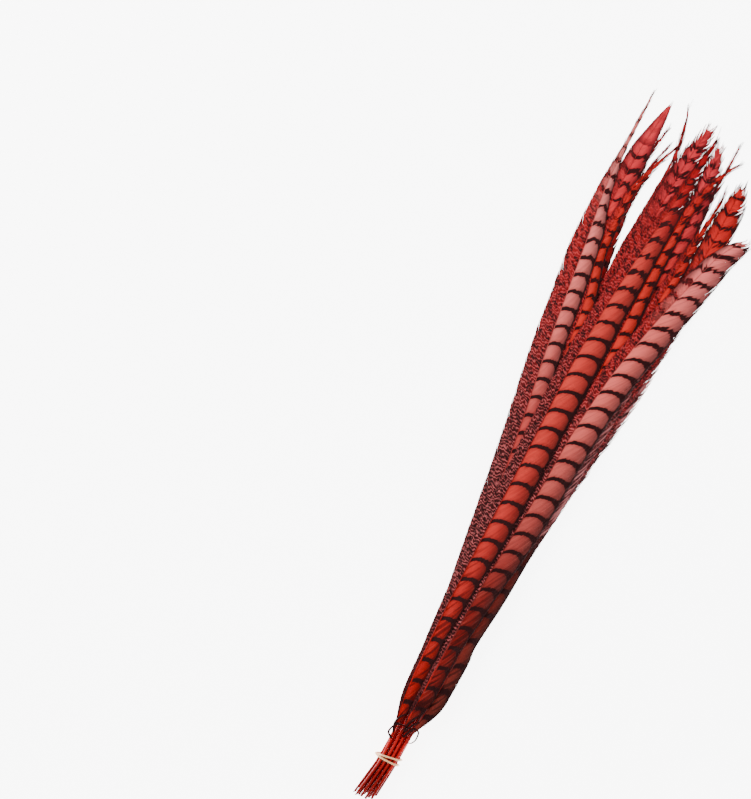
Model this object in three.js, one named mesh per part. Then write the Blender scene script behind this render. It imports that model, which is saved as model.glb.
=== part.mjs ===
// A bundle of dyed pheasant tail feathers, tied with a doubled rubber band and lying on a table.
// Millimetres. +Y runs from the cut quills to the tips, +Z is up, and the table is at z = 0.
// Every feather is one solid: a quill that thins into the shaft, with a vane on each side of it.
import * as THREE from 'three';

// The bundle
const BAND_Y = 36; // middle of the rubber band, from the shortest cut ends
const SEAT_PITCH = 3.4; // quill to quill inside the band
const ROW_SIZES = [3, 4, 5, 4, 4]; // quills in each row inside the band, lowest row first
const QUILL_LEAN = 0.1; // sideways run of the cut ends for each millimetre below the band
const QUILL_FAN = 0.005; // share by which the quills stand further apart for each millimetre below the band
const CLEARANCE = 0.4; // air between one feather and the next

// One feather
const QUILL_RADIUS = 1.25;
const VANE_START = 38; // from the band to the lowest barbs
const HELD = 40; // length above the band over which the quills still lie as they do in it
const VANE_THICKNESS = 0.6;
const EDGE_THICKNESS = 0.4;
const DROOP = 0.42; // how far a vane's edge can hang, as a share of its width
const LIFT = 0.3; // how far a vane's edge can be pushed up, as a share of its width

// The rubber band
const BAND_RADIUS = 0.8;
const BAND_HALF_SPREAD = 2.4; // half the distance between its two turns along the quills
const BAND_SHIFT = 1.4; // from BAND_Y to its middle
const BAND_TILT = 0.11; // its rise along the quills for each millimetre to the right
const BAND_STEPS = 84;
const BAND_SIDES = 6;
const BAND_AIR = 0.6; // between the quills and the band
const BAND_LIFT = 0.1; // the band's underside above the table

// Feathers in the order in which they lie, lowest first. Each has its seat in the band (row and column), the route
// of its shaft from there to its tip (x, y), and the width of its left and right vane. The wide vane is the barred
// one. A slender feather starts to narrow further from its tip. One has barbs that start lower.
const FEATHERS = [
  { seat: [0, 0], route: [[-30, 300], [-54, 480], [-58, 545]], vanes: [10, 15], slender: 0.5 },
  { seat: [0, 2], route: [[14, 260], [28, 420], [34, 498]], vanes: [15, 10], slender: 0.6 },
  { seat: [0, 1], route: [[-6, 260], [-16, 480], [-20, 583]], vanes: [15, 9], slender: 0.6 },
  { seat: [1, 0], route: [[-24, 300], [-46, 500], [-47, 560], [-42.6, 587]], vanes: [9, 15], slender: 0.9 },
  { seat: [1, 3], route: [[10.5, 203], [20, 298], [29, 375], [35, 442], [46, 505], [59, 531]], vanes: [16, 11], slender: 0.3 },
  { seat: [1, 1], route: [[-18, 300], [-41, 480], [-43, 540], [-36, 575]], vanes: [9, 14], slender: 0.9 },
  { seat: [1, 2], route: [[2, 300], [5, 500], [6, 558]], vanes: [10, 16], slender: 0.7 },
  { seat: [2, 0], route: [[-28, 300], [-53, 480], [-56, 540], [-53.4, 580], [-50.4, 605]], vanes: [9, 12], taper: [[0, 0.03], [9, 0.26], [26, 0.56], [49, 0.85], [80, 1]], slender: 0.1 },
  { seat: [2, 4], route: [[9, 300], [13, 560], [13.8, 582], [13.5, 601]], vanes: [9, 14], slender: 1 },
  { seat: [2, 1], route: [[-14, 280], [-27, 469], [-27, 535], [-28.6, 582], [-37.3, 607.7]], vanes: [9, 12], slender: 0.9 },
  { seat: [2, 3], route: [[4, 300], [5, 520], [3.2, 567], [-0.8, 594]], vanes: [10, 14], taper: [[0, 0.04], [9, 0.3], [26, 0.6], [60, 0.92], [90, 1]], slender: 0.5 },
  { seat: [2, 2], route: [[-10, 300], [-19, 500], [-17.6, 570], [-14, 603]], vanes: [10, 15], taper: [[0, 0.05], [9, 0.34], [26, 0.7], [50, 0.94], [80, 1]], slender: 0.4 },
  { seat: [3, 3], route: [[19, 330], [30, 460], [31.3, 520], [31.4, 574]], vanes: [9, 13], taper: [[0, 0.06], [9, 0.5], [26, 0.9], [40, 1]], slender: 0.2 },
  { seat: [3, 1], route: [[-16, 250], [-37, 434], [-46, 475], [-47, 515], [-41.4, 545], [-29.4, 578]], vanes: [8, 12], slender: 0.6 },
  { seat: [3, 2], route: [[10, 330], [16, 470], [17.4, 507], [21.5, 542], [21.2, 564]], vanes: [9, 13], slender: 0.5 },
  { seat: [3, 0], route: [[-28, 277], [-44.5, 378], [-58.8, 478], [-66, 530], [-67.4, 606]], vanes: [13, 13.5], taper: [[0, 0.02], [9, 0.05], [26, 0.1], [50, 0.15], [69, 0.27], [90, 0.5], [114, 0.8], [140, 1]], slender: 0.8 },
  { seat: [4, 2], route: [[1.5, 250], [0, 412], [-1.5, 490], [2, 537], [12.6, 573], [22, 588]], vanes: [9, 13], slender: 0.4 },
  { seat: [4, 3], route: [[8.5, 100], [9.5, 168], [15, 290], [30, 440]], vanes: [8, 12.5], slender: 0.4, start: 24 },
  { seat: [4, 1], route: [[-1.5, 184], [2.3, 268], [5, 347], [13.1, 408], [24.1, 454], [42.4, 519], [55.5, 536]], vanes: [8.5, 20.5], taper: [[0, 0.06], [9, 0.5], [26, 0.75], [50, 0.94], [70, 1]], slender: 0.3 },
  { seat: [4, 0], route: [[-13.4, 92], [-18, 170], [-20, 290], [-21.8, 380], [-19.7, 440], [-15.5, 490], [-5, 598]], vanes: [9.5, 21.5], slender: 0.4 },
];

// Places along y at which the feathers' sections are worked out. They are closer together near the band.
const STATIONS = [16, 32, 48, 60, 74, 90, 108, 130, 158, 192, 232, 278, 328, 380, 432, 480, 520, 556];
const STATION_MARGIN = 9; // a shared station this close to an end of a feather is left out
const TAPER_STATION = 26; // from the tip of a feather with a taper of its own to its extra station

// The pile that the feathers make is kept as a height on a grid.
const CELL_X = 0.5;
const CELL_Y = 2;
const GRID_HALF_WIDTH = 110;
const GRID_LENGTH = 640;
const COLUMNS = (2 * GRID_HALF_WIDTH) / CELL_X;
const LINES = GRID_LENGTH / CELL_Y;

const { lerp, clamp, smoothstep } = THREE.MathUtils;

// Value at t of a line through [t, value] points.
function along(points, t) {
  const next = points.findIndex(([place]) => place >= t);
  if (next <= 0) return points[next === 0 ? 0 : points.length - 1][1];
  const [t0, v0] = points[next - 1];
  const [t1, v1] = points[next];
  return lerp(v0, v1, (t - t0) / (t1 - t0));
}

// Small steady differences between feathers, from 0 to 1.
function vary(index, salt) {
  const wave = Math.sin(index * 12.9898 + salt * 78.233) * 43758.5453;
  return wave - Math.floor(wave);
}

function seatOf(feather) {
  const [row, column] = feather.seat;
  const x = (column - (ROW_SIZES[row] - 1) / 2) * SEAT_PITCH;
  const lowest = BAND_LIFT + 2 * BAND_RADIUS + BAND_AIR + QUILL_RADIUS;
  return { x, z: lowest + row * (2 * QUILL_RADIUS + CLEARANCE) };
}

function tipOf(feather) {
  return feather.route[feather.route.length - 1];
}

// Sideways place of the shaft: a smooth line from its seat along its route.
function shaftX(feather, y) {
  const seat = seatOf(feather);
  if (y < BAND_Y) return seat.x * (1 + (BAND_Y - y) * QUILL_FAN) - (BAND_Y - y) * QUILL_LEAN;
  const points = [[seat.x, BAND_Y], ...feather.route];
  const slopeAt = (i) => {
    if (i === 0) return 0; // straight through the band
    const [xa, ya] = points[i - 1];
    const [xb, yb] = points[Math.min(points.length - 1, i + 1)];
    return (xb - xa) / (yb - ya);
  };
  const next = Math.max(1, points.findIndex(([, place]) => place >= y));
  const [x0, y0] = points[next - 1];
  const [x1, y1] = points[next];
  const span = y1 - y0;
  const t = (y - y0) / span;
  const ease = t * t * (3 - 2 * t);
  const leave = t * (1 - t) ** 2 * span * slopeAt(next - 1);
  const arrive = t * t * (1 - t) * span * slopeAt(next);
  return lerp(x0, x1, ease) + leave - arrive;
}

function shaftRadius(feather, y) {
  const t = (y - BAND_Y) / (tipOf(feather)[1] - BAND_Y);
  return QUILL_RADIUS * along([[-0.06, 0.88], [0, 1], [0.08, 0.96], [0.5, 0.62], [0.8, 0.4], [1, 0.24]], t);
}

// Share of a vane's full width, from its lowest barbs at 0 to the tip at 1.
function vaneShare(feather, y) {
  const start = BAND_Y + (feather.start ?? VANE_START);
  const t = (y - start) / (tipOf(feather)[1] - start);
  const growing = [[0, 0], [0.04, 0.08], [0.1, 0.38], [0.2, 0.68], [0.34, 0.9]];
  if (feather.taper) return along([...growing, [0.5, 1]], t) * along(feather.taper, tipOf(feather)[1] - y);
  const shoulder = lerp(0.72, 0.5, feather.slender);
  return along([...growing, [shoulder, 1],
    [lerp(shoulder, 1, 0.55), lerp(0.66, 0.52, feather.slender)],
    [0.95, lerp(0.26, 0.12, feather.slender)], [1, 0.02]], t);
}

// A section across a feather at one station, with its heights still to be found.
function section(feather, index, y) {
  const radius = shaftRadius(feather, y);
  const share = vaneShare(feather, y);
  const ragged = (salt) => 1 - 0.06 * vary(index * 31 + y, salt);
  const start = BAND_Y + (feather.start ?? VANE_START);
  const quill = 1 - smoothstep(y, start - 12, start + 14);
  const thickness = lerp(VANE_THICKNESS, 1.2 * radius, quill);
  return {
    y, radius, quill, thickness,
    x: shaftX(feather, y),
    left: Math.max(0.97 * radius, feather.vanes[0] * share * ragged(1)),
    right: Math.max(0.97 * radius, feather.vanes[1] * share * ragged(2)),
    depth: lerp(1.25, 0.4, quill) * radius, // of the shaft below the vane's underside
    crown: lerp(0.3, 0.4, quill) * radius, // of the shaft above the vane
    edge: lerp(EDGE_THICKNESS, 0.6 * radius, quill),
  };
}

function sectionsOf(feather, index) {
  const cut = 7 * vary(index, 3);
  const tip = tipOf(feather)[1];
  const last = feather.taper ? [tip - TAPER_STATION, tip - STATION_MARGIN, tip] : [tip - STATION_MARGIN, tip];
  const shared = STATIONS.filter((y) => y > cut + STATION_MARGIN && y < last[0] - STATION_MARGIN);
  return [cut, ...shared, ...last].map((y) => section(feather, index, y));
}

// A section between two stations, for laying the feather on the pile.
function between(a, b, t) {
  const mixed = {};
  for (const key of Object.keys(a)) mixed[key] = lerp(a[key], b[key], t);
  return mixed;
}

const pile = new Float32Array(COLUMNS * LINES);

// Lowest height at which a feather can lie over a cell: on the table, or just clear of the pile.
function floorAt(column, line) {
  let highest = 0;
  for (let i = column - 1; i <= column + 1; i += 1) {
    for (let j = line - 1; j <= line + 1; j += 1) {
      if (i >= 0 && j >= 0 && i < COLUMNS && j < LINES) highest = Math.max(highest, pile[j * COLUMNS + i]);
    }
  }
  return highest > 0 ? highest + CLEARANCE : 0;
}

// Calls visit for every cell of the grid under a feather, with the two stations around it and its own section.
function forCells(sections, visit) {
  for (let j = 0; j + 1 < sections.length; j += 1) {
    const a = sections[j];
    const b = sections[j + 1];
    const lines = Math.max(2, Math.ceil((b.y - a.y) / CELL_Y) + 1);
    for (let k = 0; k < lines; k += 1) {
      const t = k / (lines - 1);
      const here = between(a, b, t);
      const line = Math.round(here.y / CELL_Y);
      const first = Math.floor((here.x - here.left + GRID_HALF_WIDTH) / CELL_X);
      const last = Math.ceil((here.x + here.right + GRID_HALF_WIDTH) / CELL_X);
      for (let column = first; column <= last; column += 1) {
        const offset = clamp(column * CELL_X - GRID_HALF_WIDTH - here.x, -here.left, here.right);
        visit(a, b, here, offset, column, line, t);
      }
    }
  }
}

// How far out a place is on its vane: 0 at the shaft's side, 1 at the edge.
function outward(here, offset) {
  const side = 0.6 * here.radius;
  const width = (offset < 0 ? here.left : here.right) - side;
  return clamp((Math.abs(offset) - side) / Math.max(width, 0.01), 0, 1);
}

function droopOf(here, offset) {
  const width = offset < 0 ? here.left : here.right;
  return DROOP * Math.max(0, width - here.radius);
}

// Lifts the two stations around a place, as far as each bears on it, until the place is at z. Neither goes above z.
function lift(a, b, t, key, z) {
  const lacking = z - lerp(a[key], b[key], t);
  if (lacking <= 0) return;
  const shareA = a.held ? 0 : 1 - t;
  const shareB = b.held ? 0 : t;
  const bearing = Math.max(0.01, (1 - t) * shareA + t * shareB);
  for (const [s, share] of [[a, shareA], [b, shareB]]) {
    s[key] += Math.min(Math.max(0, z - s[key]), (lacking * share) / bearing);
  }
}

// Finds the height of the shaft and of both edges at every station, so that the feather lies on the pile.
function lay(feather, sections) {
  const seat = seatOf(feather);
  const INNER = 0.4; // inside this share of a vane the shaft carries it, outside it the edge does
  for (const s of sections) {
    const heightInBand = seat.z - 0.6 * s.radius;
    const held = 1 - smoothstep(s.y, BAND_Y + HELD, BAND_Y + 150);
    s.rest = lerp(s.depth, heightInBand, held);
    s.held = s.y < BAND_Y + HELD;
    s.shaft = s.rest;
  }
  for (let pass = 0; pass < 3; pass += 1) {
    forCells(sections, (a, b, here, offset, column, line, t) => {
      const out = outward(here, offset);
      if (out >= INNER) return;
      const inShaft = Math.abs(offset) < 0.6 * here.radius;
      const floor = floorAt(column, line);
      const hanging = floor > 0 ? out * droopOf(here, offset) : 0;
      lift(a, b, t, 'shaft', floor + (inShaft ? here.depth : hanging));
    });
  }
  // The shaft is springy: it bridges hollows instead of following them. The lowest feathers lie flat on the table.
  const needed = sections.map((s) => s.shaft);
  const passes = feather.seat[0] === 0 ? 0 : 8;
  for (let pass = 0; pass < passes; pass += 1) {
    for (let j = 1; j + 1 < sections.length; j += 1) {
      const s = sections[j];
      const t = (s.y - sections[j - 1].y) / (sections[j + 1].y - sections[j - 1].y);
      const bridged = lerp(sections[j - 1].shaft, sections[j + 1].shaft, t);
      if (!s.held) s.shaft = Math.max(needed[j], lerp(s.shaft, bridged, 0.5));
    }
  }
  for (const s of sections) {
    const roundQuill = 0.3 * s.quill * s.radius;
    s.leftEdge = Math.max(0, s.shaft - droopOf(s, -1)) + roundQuill;
    s.rightEdge = Math.max(0, s.shaft - droopOf(s, 1)) + roundQuill;
  }
  for (let pass = 0; pass < 4; pass += 1) {
    forCells(sections, (a, b, here, offset, column, line, t) => {
      const out = outward(here, offset);
      if (out < INNER) return;
      const edge = offset < 0 ? 'leftEdge' : 'rightEdge';
      const shaft = lerp(a.shaft, b.shaft, t);
      lift(a, b, t, edge, (floorAt(column, line) - (1 - out) * shaft) / out);
      for (const s of [a, b].filter((end) => !end.held)) {
        const most = s.shaft + LIFT * (offset < 0 ? s.left : s.right);
        if (s[edge] > most) s.shaft += 0.5 * (s[edge] - most);
      }
    });
  }
}

// Raises the pile by a feather that has been laid on it.
function addToPile(sections) {
  forCells(sections, (a, b, here, offset, column, line) => {
    const out = outward(here, offset);
    const edge = (offset < 0 ? here.leftEdge : here.rightEdge) + here.edge;
    const vane = lerp(here.shaft + here.thickness, edge, out);
    const ridge = here.crown * Math.max(0, 1 - Math.abs(offset) / (0.6 * here.radius));
    const cell = line * COLUMNS + column;
    pile[cell] = Math.max(pile[cell], vane + ridge);
  });
}

// The outline of a section, counter-clockwise seen from the tip: bottom, right vane, crown, left vane.
function outline(s) {
  const side = 0.6 * s.radius;
  const flat = 0.4 * s.radius;
  return [
    [-flat, s.shaft - s.depth], [flat, s.shaft - s.depth], [side, s.shaft],
    [s.right, s.rightEdge], [s.right, s.rightEdge + s.edge], [side, s.shaft + s.thickness],
    [0, s.shaft + s.thickness + s.crown], [-side, s.shaft + s.thickness],
    [-s.left, s.leftEdge + s.edge], [-s.left, s.leftEdge], [-side, s.shaft],
  ].map(([across, z]) => [s.x + across, s.y, z]);
}

// The tops of the vanes in outline(): they are cut along the same diagonals as the undersides,
// so that the two faces of a thin vane stay apart where it twists.
const VANE_TOPS = [4, 7];

// A closed skin over rings of equally many points, given from the first ring to the last.
function skin(rings, capped, turned = []) {
  const size = rings[0].length;
  const triangles = [];
  const spans = capped ? rings.length - 1 : rings.length;
  for (let j = 0; j < spans; j += 1) {
    const here = j * size;
    const next = ((j + 1) % rings.length) * size;
    for (let i = 0; i < size; i += 1) {
      const right = (i + 1) % size;
      if (turned.includes(i)) triangles.push(here + i, next + i, here + right, next + i, next + right, here + right);
      else triangles.push(here + i, next + right, here + right, here + i, next + i, next + right);
    }
  }
  if (capped) {
    for (const [ring, last] of [[0, false], [rings.length - 1, true]]) {
      const flat = rings[ring].map(([x, , z]) => new THREE.Vector2(x, z));
      for (const [a, b, c] of THREE.ShapeUtils.triangulateShape(flat, [])) {
        const corner = [a, b, c].map((i) => ring * size + i);
        triangles.push(...(last ? corner.reverse() : corner));
      }
    }
  }
  const geometry = new THREE.BufferGeometry();
  geometry.setAttribute('position', new THREE.Float32BufferAttribute(rings.flat(2), 3));
  geometry.setIndex(triangles);
  geometry.computeVertexNormals();
  return geometry;
}

// Distance from the middle of the quills to the band's centreline, in the direction angle.
function tautRadius(angle, middleZ) {
  let nearest = Infinity;
  for (let k = 0; k < 72; k += 1) {
    const normal = (k * Math.PI) / 36;
    const reach = Math.max(...FEATHERS.map((feather) => {
      const seat = seatOf(feather);
      return seat.x * Math.cos(normal) + (seat.z - middleZ) * Math.sin(normal);
    }));
    const facing = Math.cos(normal - angle);
    if (facing > 0.2) nearest = Math.min(nearest, (reach + QUILL_RADIUS + BAND_AIR + BAND_RADIUS) / facing);
  }
  return nearest;
}

// The doubled band: one closed loop that runs twice round the quills and crosses itself once, on the left.
function bandGeometry() {
  const seats = FEATHERS.map(seatOf);
  const middleZ = (Math.min(...seats.map((s) => s.z)) + Math.max(...seats.map((s) => s.z))) / 2;
  const crossing = Math.PI;
  const points = [];
  for (let k = 0; k < BAND_STEPS; k += 1) {
    const turn = (k / BAND_STEPS) * 4 * Math.PI;
    const angle = turn + crossing;
    const over = BAND_RADIUS * 1.15 * (1 + Math.cos(turn / 2)); // clears the other turn where they cross
    const radius = tautRadius(angle, middleZ) + over * Math.exp(-7 * Math.sin(turn / 2) ** 2);
    const x = radius * Math.cos(angle);
    points.push(new THREE.Vector3(
      x,
      BAND_Y + BAND_SHIFT + BAND_TILT * x + BAND_HALF_SPREAD * Math.sin(turn / 2),
      middleZ + radius * Math.sin(angle),
    ));
  }
  const route = new THREE.CatmullRomCurve3(points, true);
  const rings = [];
  for (let k = 0; k < BAND_STEPS; k += 1) {
    const centre = route.getPoint(k / BAND_STEPS);
    const outwards = new THREE.Vector3(centre.x, 0, centre.z - middleZ).normalize();
    const ring = [];
    for (let i = 0; i < BAND_SIDES; i += 1) {
      const around = (i / BAND_SIDES) * 2 * Math.PI;
      const point = centre.clone()
        .addScaledVector(outwards, BAND_RADIUS * Math.cos(around))
        .add(new THREE.Vector3(0, -BAND_RADIUS * Math.sin(around), 0));
      ring.push(point.toArray());
    }
    rings.push(ring);
  }
  return skin(rings, false);
}

function mesh(name, geometry, color, roughness) {
  const made = new THREE.Mesh(geometry, new THREE.MeshStandardMaterial({ color, roughness, metalness: 0 }));
  made.name = name;
  return made;
}

const bundle = new THREE.Group();
FEATHERS.forEach((feather, index) => {
  const sections = sectionsOf(feather, index);
  lay(feather, sections);
  addToPile(sections);
  const name = `feather_${String(index + 1).padStart(2, '0')}`;
  bundle.add(mesh(name, skin(sections.map(outline), true, VANE_TOPS), 0xc8402f, 0.6));
});
bundle.add(mesh('rubber_band', bandGeometry(), 0xe9c3a0, 0.55));

// The origin is the middle of the bundle's footprint, on the table.
const box = new THREE.Box3().setFromObject(bundle);
const centre = box.getCenter(new THREE.Vector3());
bundle.position.set(-centre.x, -centre.y, -box.min.z);
bundle.updateMatrixWorld(true);

export default bundle;
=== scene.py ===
"""Looks of a tied bundle of dyed pheasant tail feathers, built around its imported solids."""

import math
from collections import namedtuple

import bmesh
import bpy
import numpy as np
from mathutils import Matrix, Vector


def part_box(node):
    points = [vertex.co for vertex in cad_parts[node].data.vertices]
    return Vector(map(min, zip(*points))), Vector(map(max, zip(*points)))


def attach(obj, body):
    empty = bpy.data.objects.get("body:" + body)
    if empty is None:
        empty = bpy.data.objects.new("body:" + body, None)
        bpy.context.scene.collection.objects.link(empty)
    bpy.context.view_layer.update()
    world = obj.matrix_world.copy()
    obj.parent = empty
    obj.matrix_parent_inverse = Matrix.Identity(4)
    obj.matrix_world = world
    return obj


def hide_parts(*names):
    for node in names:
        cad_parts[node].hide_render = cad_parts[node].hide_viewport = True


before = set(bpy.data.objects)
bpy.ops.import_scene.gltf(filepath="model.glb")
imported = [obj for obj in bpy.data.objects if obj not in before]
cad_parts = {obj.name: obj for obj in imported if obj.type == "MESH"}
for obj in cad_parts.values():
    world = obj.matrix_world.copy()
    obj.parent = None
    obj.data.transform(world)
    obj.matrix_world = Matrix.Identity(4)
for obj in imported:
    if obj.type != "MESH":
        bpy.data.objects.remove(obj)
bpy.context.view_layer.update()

bl_info = {
    "name": "Feather Bundle",
    "version": (1, 0, 0),
    "blender": (4, 5, 0),
    "location": "View3D > Sidebar > Feathers",
    "description": "Dresses a tied bundle of barred tail feathers",
    "category": "Object",
}

MM = 0.001
LOWEST_Y = min(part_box(node)[0].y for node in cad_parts) / MM

# Seen from above, the picture's top points along the feathers turned by this angle.
PICTURE_TURN = math.radians(28.5)
PICTURE_CENTRE = (-0.1399, -0.0207)
PICTURE_HEIGHT = 0.6392
CAMERA_DISTANCE = 2.0


def linear(red, green, blue):
    """A screen colour as scene light."""
    return tuple(c / 12.92 if c < 0.0405 else ((c + 0.055) / 1.055) ** 2.4 for c in (red, green, blue))


# ---------------------------------------------------------------- sizes and colours


class BarbSizes(bpy.types.PropertyGroup):
    """Sizes of the barbs and of the pattern that they carry together."""

    ribbons: bpy.props.IntProperty(
        name="Barb ribbons", description="Ribbons of barbs along each vane", default=300, min=40
    )
    steps: bpy.props.IntProperty(
        name="Ribbon steps", description="Faces along each ribbon", default=9, min=4
    )
    thickness: bpy.props.FloatProperty(
        name="Barb thickness", description="Thickness of a ribbon of barbs",
        default=0.16 * MM, unit="LENGTH",
    )
    reach: bpy.props.FloatProperty(
        name="Forward reach", description="Forward run of a barb for each unit of vane width",
        default=2.5, unit="NONE",
    )
    longest: bpy.props.FloatProperty(
        name="Longest barb", description="Greatest forward run of a barb",
        default=46 * MM, unit="LENGTH",
    )
    bar_share: bpy.props.FloatProperty(
        name="Dark share", description="Share of the bar spacing that is dark",
        default=0.2, subtype="FACTOR", min=0.05, max=0.9,
    )


class FeatherColours(bpy.types.PropertyGroup):
    """Dyes of the feathers and of the band."""

    bar: bpy.props.FloatVectorProperty(
        name="Bars", description="Near-black of the bars", subtype="COLOR",
        size=3, min=0, max=1, default=linear(0.14, 0.02, 0.025),
    )
    squiggle: bpy.props.FloatVectorProperty(
        name="Squiggles", description="Pale flecks of the mottled vanes", subtype="COLOR",
        size=3, min=0, max=1, default=linear(0.60, 0.29, 0.29),
    )
    maroon: bpy.props.FloatVectorProperty(
        name="Maroon", description="Ground of the mottled vanes", subtype="COLOR",
        size=3, min=0, max=1, default=linear(0.26, 0.03, 0.04),
    )
    quill: bpy.props.FloatVectorProperty(
        name="Quills", description="Dyed quills above the band", subtype="COLOR",
        size=3, min=0, max=1, default=linear(0.66, 0.04, 0.03),
    )
    band: bpy.props.FloatVectorProperty(
        name="Rubber", description="Rubber of the band", subtype="COLOR",
        size=3, min=0, max=1, default=linear(0.92, 0.70, 0.50),
    )
    floor: bpy.props.FloatVectorProperty(
        name="Floor", description="Pale floor", subtype="COLOR",
        size=3, min=0, max=1, default=(0.93, 0.93, 0.93),
    )


class BandSizes(bpy.types.PropertyGroup):
    """Sizes of the rubber band."""

    radius: bpy.props.FloatProperty(
        name="Strand radius", description="Radius of the band's strand",
        default=0.78 * MM, unit="LENGTH",
    )


SETTINGS = {"feather_barbs": BarbSizes, "feather_colours": FeatherColours, "feather_band": BandSizes}


# ---------------------------------------------------------------- the feathers' own characters

# Dyes of the barred vane: low on the feather, high on it, at the tip, and where low passes into high.
Dye = namedtuple("Dye", "low high tip starts ends")
DYES = {
    "red": Dye(linear(0.60, 0.04, 0.02), linear(0.78, 0.22, 0.19), linear(0.66, 0.06, 0.09), 0.15, 0.75),
    "salmon": Dye(linear(0.44, 0.06, 0.04), linear(0.90, 0.40, 0.37), linear(0.92, 0.44, 0.42), 0.30, 0.85),
    "rose": Dye(linear(0.66, 0.18, 0.17), linear(0.90, 0.43, 0.40), linear(0.92, 0.50, 0.48), 0.50, 0.85),
    "orange": Dye(linear(0.62, 0.03, 0.01), linear(0.80, 0.16, 0.12), linear(0.80, 0.13, 0.12), 0.20, 0.70),
    "coral": Dye(linear(0.62, 0.05, 0.04), linear(0.80, 0.17, 0.17), linear(0.82, 0.20, 0.23), 0.20, 0.90),
    "crimson": Dye(linear(0.40, 0.02, 0.02), linear(0.68, 0.08, 0.09), linear(0.72, 0.14, 0.16), 0.20, 0.80),
    "dark": Dye(linear(0.42, 0.14, 0.11), linear(0.42, 0.10, 0.08), linear(0.34, 0.06, 0.04), 0.20, 0.70),
}

# Distances from the lowest cut end and the spacing of the bars there, in millimetres.
BAR_SPACING = ((90, 18.5), (200, 17.3), (300, 16.4), (480, 15.7), (600, 12.5))

# spacing: of the bars, as a factor; a_bar: where one bar meets the shaft, in mm; splay of the tip, 0 to 1;
# fringe in mm; rim: dark share of the outer edge; barred: side of the barred vane, 1 for right;
# plain: unbarred end in mm; low_barbs: whether barbs start right above the band;
# bars_span: the stretch over which the barred vane has its bars, and outside which it is mottled
Character = namedtuple(
    "Character", "dye spacing a_bar splay fringe rim barred plain low_barbs bars_span", defaults=((0, 700),)
)
CHARACTERS = {
    "feather_01": Character("crimson", 1.00, 402, 0.5, 0.6, 0.12, 1, 0, False),
    "feather_02": Character("crimson", 0.95, 410, 0.5, 0.6, 0.12, 1, 0, False),
    "feather_03": Character("crimson", 1.00, 405, 0.5, 0.6, 0.12, 1, 0, False),
    "feather_04": Character("crimson", 0.95, 411, 0.6, 0.6, 0.14, 1, 0, False),
    "feather_05": Character("dark", 1.00, 403, 0.3, 1.8, 0.14, -1, 0, False),
    "feather_06": Character("crimson", 0.90, 408, 0.6, 0.6, 0.14, 1, 0, False),
    "feather_07": Character("crimson", 1.00, 414, 0.5, 0.6, 0.12, 1, 0, False),
    "feather_08": Character("coral", 0.95, 540, 0.0, 0.2, 0.08, 1, 34, False),
    "feather_09": Character("crimson", 0.90, 406, 0.6, 0.6, 0.14, 1, 0, False),
    "feather_10": Character("crimson", 0.90, 413, 0.5, 0.6, 0.14, 1, 0, False),
    "feather_11": Character("coral", 0.95, 405, 0.5, 0.7, 0.12, 1, 12, False),
    "feather_12": Character("coral", 0.95, 410, 0.5, 0.7, 0.12, 1, 14, False),
    "feather_13": Character("orange", 0.95, 402, 0.3, 0.6, 0.14, 1, 0, False, (435, 700)),
    "feather_14": Character("orange", 0.85, 408, 0.6, 0.6, 0.16, 1, 0, False),
    "feather_15": Character("orange", 0.95, 411, 0.6, 0.6, 0.18, 1, 0, False),
    "feather_16": Character("rose", 0.913, 416.4, 0.25, 0.6, 0.08, 1, 0, True),
    "feather_17": Character("orange", 0.95, 406, 0.5, 0.6, 0.18, 1, 0, False),
    "feather_18": Character("dark", 1.28, 150, 0.4, 0.5, 0.10, 1, 0, True, (0, 245)),
    "feather_19": Character("salmon", 0.995, 291.3, 0.12, 0.8, 0.07, 1, 0, True),
    "feather_20": Character("red", 0.995, 291.2, 0.5, 0.7, 0.10, 1, 0, True),
}

# Loose barbs that curl away above the band, in millimetres: sideways from the feather's own quill, and along.
CURLS = {
    "feather_20": (
        ((-1, 53), (-5.5, 57), (-3.5, 64), (2, 66.5), (5, 63)),
        ((-2, 58), (-4.5, 66), (-1, 74), (3.5, 76)),
    ),
    "feather_19": (
        ((3, 58), (8, 68), (12.5, 67), (13.5, 61), (11, 56), (5.5, 55)),
        ((2, 62), (6, 71), (11.5, 75), (15.5, 73)),
        ((1, 66), (4, 75), (8, 80), (12.5, 81)),
    ),
}
CURL_RADIUS = 0.95
FEATHER_LENGTH = 530  # about, of those with an unbarred end


# ---------------------------------------------------------------- reading the frame


def smooth_line(where, at, values):
    """Values on a smooth line through known ones, without overshoot."""
    steps = np.diff(at)
    slopes = np.diff(values) / steps
    inner = np.where(
        slopes[:-1] * slopes[1:] > 0,
        2 * slopes[:-1] * slopes[1:] / (slopes[:-1] + slopes[1:] + 1e-12), 0,
    )
    tangents = np.concatenate([slopes[:1], inner, slopes[-1:]])
    where = np.clip(where, at[0], at[-1])
    k = np.clip(np.searchsorted(at, where) - 1, 0, len(at) - 2)
    s = (where - at[k]) / steps[k]
    return (
        values[k] * (2 * s**3 - 3 * s**2 + 1)
        + values[k + 1] * (3 * s**2 - 2 * s**3)
        + steps[k] * (tangents[k] * (s**3 - 2 * s**2 + s) + tangents[k + 1] * (s**3 - s**2))
    )


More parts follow.
